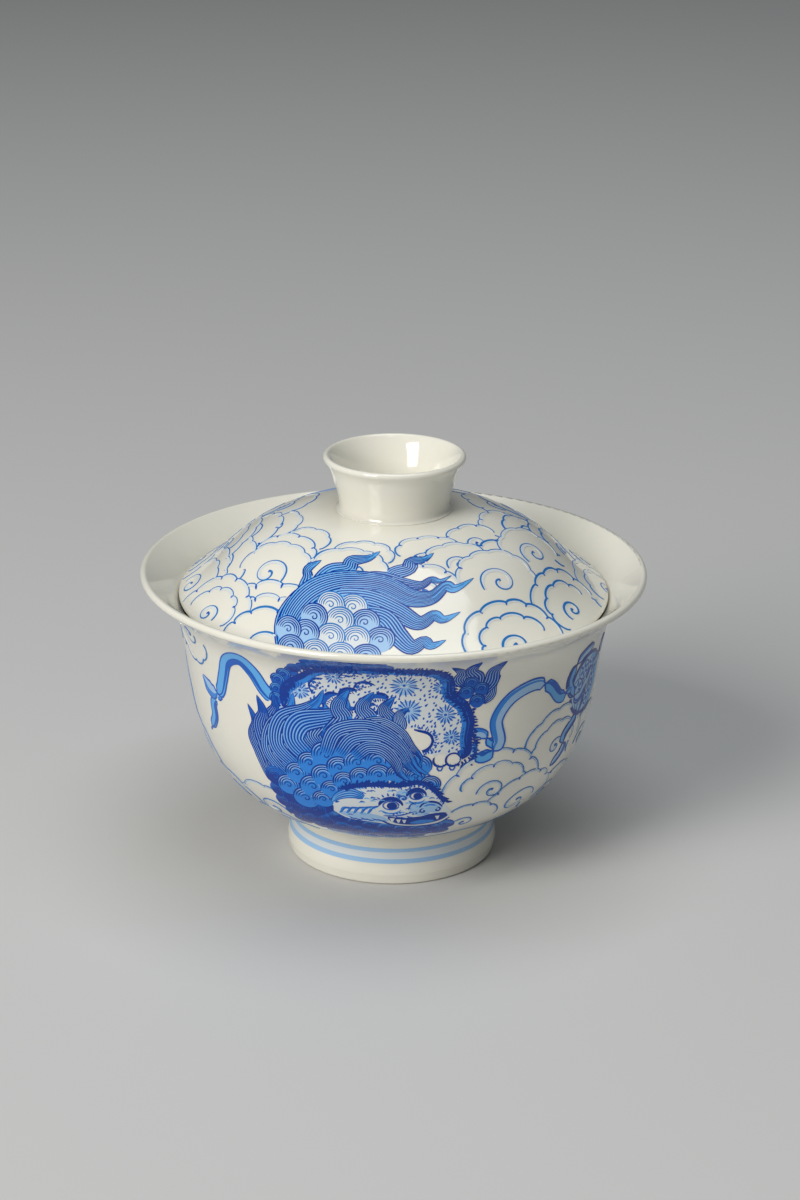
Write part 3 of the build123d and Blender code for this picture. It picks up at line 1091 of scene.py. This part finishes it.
def tail(paint, angle):
    """Pale snail curls at the edge and long hair that blows over them to one side."""
    paint.stand(angle, 0)
    for height, places in (
        (1.6, (-14.8, -9.8, -4.8, 0)),
        (5.4, (-16, -12.2, -7.2, -2.4, 2.2)),
        (9, (-11, -5.8, -1)),
        (12, (-8, -3.6)),
    ):
        for place in places:
            pale = abs(place + 6) < 4.4
            fill, ink = ("mist", "line") if pale else ("pale", "deep")
            start = paint.hand.uniform(170, 220)
            curl(paint, place + 1j * height, 2.75, start, fill, ink, rounds=5, shine=None)
    for points, width, root, strands in (
        ([-2 + 11j, 2.4 + 10j, 5.4 + 6.4j, 8.2 + 3.8j, 10.4 + 5j, 12 + 4j, 14.6 + 5j], 4.2, 0.7, 8),
        (
            [-11 + 9j, -7 + 13.2j, -1 + 13.8j, 4.6 + 11.6j, 9 + 9j, 11.8 + 10.4j, 13.8 + 9.4j, 17 + 10.6j],
            4.6, 0.8, 9,
        ),
        (
            [
                -15.4 + 2j, -15.6 + 8j, -12 + 13.8j, -6 + 17.2j, 1 + 17.4j,
                7 + 14.4j, 11 + 14.2j, 13.6 + 16.4j, 15.6 + 15.6j, 19.4 + 17.2j,
            ],
            5.8, 0.8, 12,
        ),
        (
            [-6 + 18j, 0 + 19.2j, 5 + 17.8j, 8.6 + 17j, 10.6 + 18.2j, 12.4 + 17.6j, 14.6 + 18.6j],
            2.6, 0.1, 6,
        ),
        ([-16.6 + 1j, -17.6 + 7j, -15 + 12.4j, -11.4 + 15.6j, -7 + 18.4j], 3.4, 0.7, 7),
        ([-12 + 15j, -9 + 19j, -5.6 + 20.6j, -5 + 22.6j, -2 + 23.8j, 0 + 26j], 3.8, 0.6, 7),
        ([2.6 + 17.4j, 3.2 + 20j, 6 + 21.2j, 6.2 + 23j, 8.6 + 23.4j, 10.4 + 25j], 3.4, 0.6, 7),
        ([-15 + 12j, -13.6 + 16.6j, -14 + 18.6j, -11.4 + 21.4j], 2.4, 0.6, 5),
    ):
        lock(paint, points, width, strands, fill="light", root=root)


for angle in (-7, 176):
    tail(lid_painting, angle)
cloud_bank(
    lid_painting,
    [
        (35, 1.5, 10.5, 4, 1),
        (62, 4, 10, 14, 1),
        (-37, 0.5, 9, -8, -1),
        (-62, 2, 10, 6, -1),
        (-38, 1, 14.5, -6, -1),
        (10, 15.5, 7, 6, -1),
        (42, 15, 8.5, -8, 1),
        (-20, 19, 7.5, 4, -1),
        (-52, 15, 8.5, 8, -1),
        (30, 21, 6.5, -6, 1),
        (70, 17, 8, -10, 1),
    ],
)
for first, last in ((80, 158), (200, 285)):
    cloud_row(lid_painting, 1.5, 10, 4, first, last)
    cloud_row(lid_painting, 11, 9, 4, first, last, 0.4)
cloud_row(lid_painting, 19, 6.5, 11, 8, 352)
cloud_row(lid_painting, 24, 6, 11, 0, 360)
lid_painting.finish()


# ---------------------------------------------------------------- bands on the foot
# Two lines with a faint wash between them run round the foot. They are laid on the wheel,
# with a loaded brush held still against the turning bowl.

RING_START = 0.9  # height at which the foot's wall is clear of its rounded edge
JOIN = 1.002  # a band runs this much of a full round, so that its ends meet

ring_heights = np.arange(RING_START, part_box("foot_ring")[1].z / MM, 0.8)
foot_outline = Outline("foot_ring", [OUT + 1j * z for z in ring_heights], True)
foot_painting = Painting("foot", "bowl", foot_outline, 3)
foot_painting.stand(180, 0)


def band(paint, height, width, tone):
    """A line right round the piece."""
    half_round = math.pi * float(paint.outline.radius(height)) * JOIN
    path = np.linspace(-half_round, half_round, 240) + 1j * height
    paint.line(path, width, tone, 0, 0)


band(foot_painting, 6.4, 0.75, "pale")
band(foot_painting, 4.2, 1.0, "pale")
band(foot_painting, 5.3, 3.2, "mist")
foot_painting.finish()


# ---------------------------------------------------------------- clearing the guides
# The outlines were only guides for the painting, so they go.

for outline in (bowl_outline, lid_outline, foot_outline):
    bpy.data.objects.remove(outline.guide)
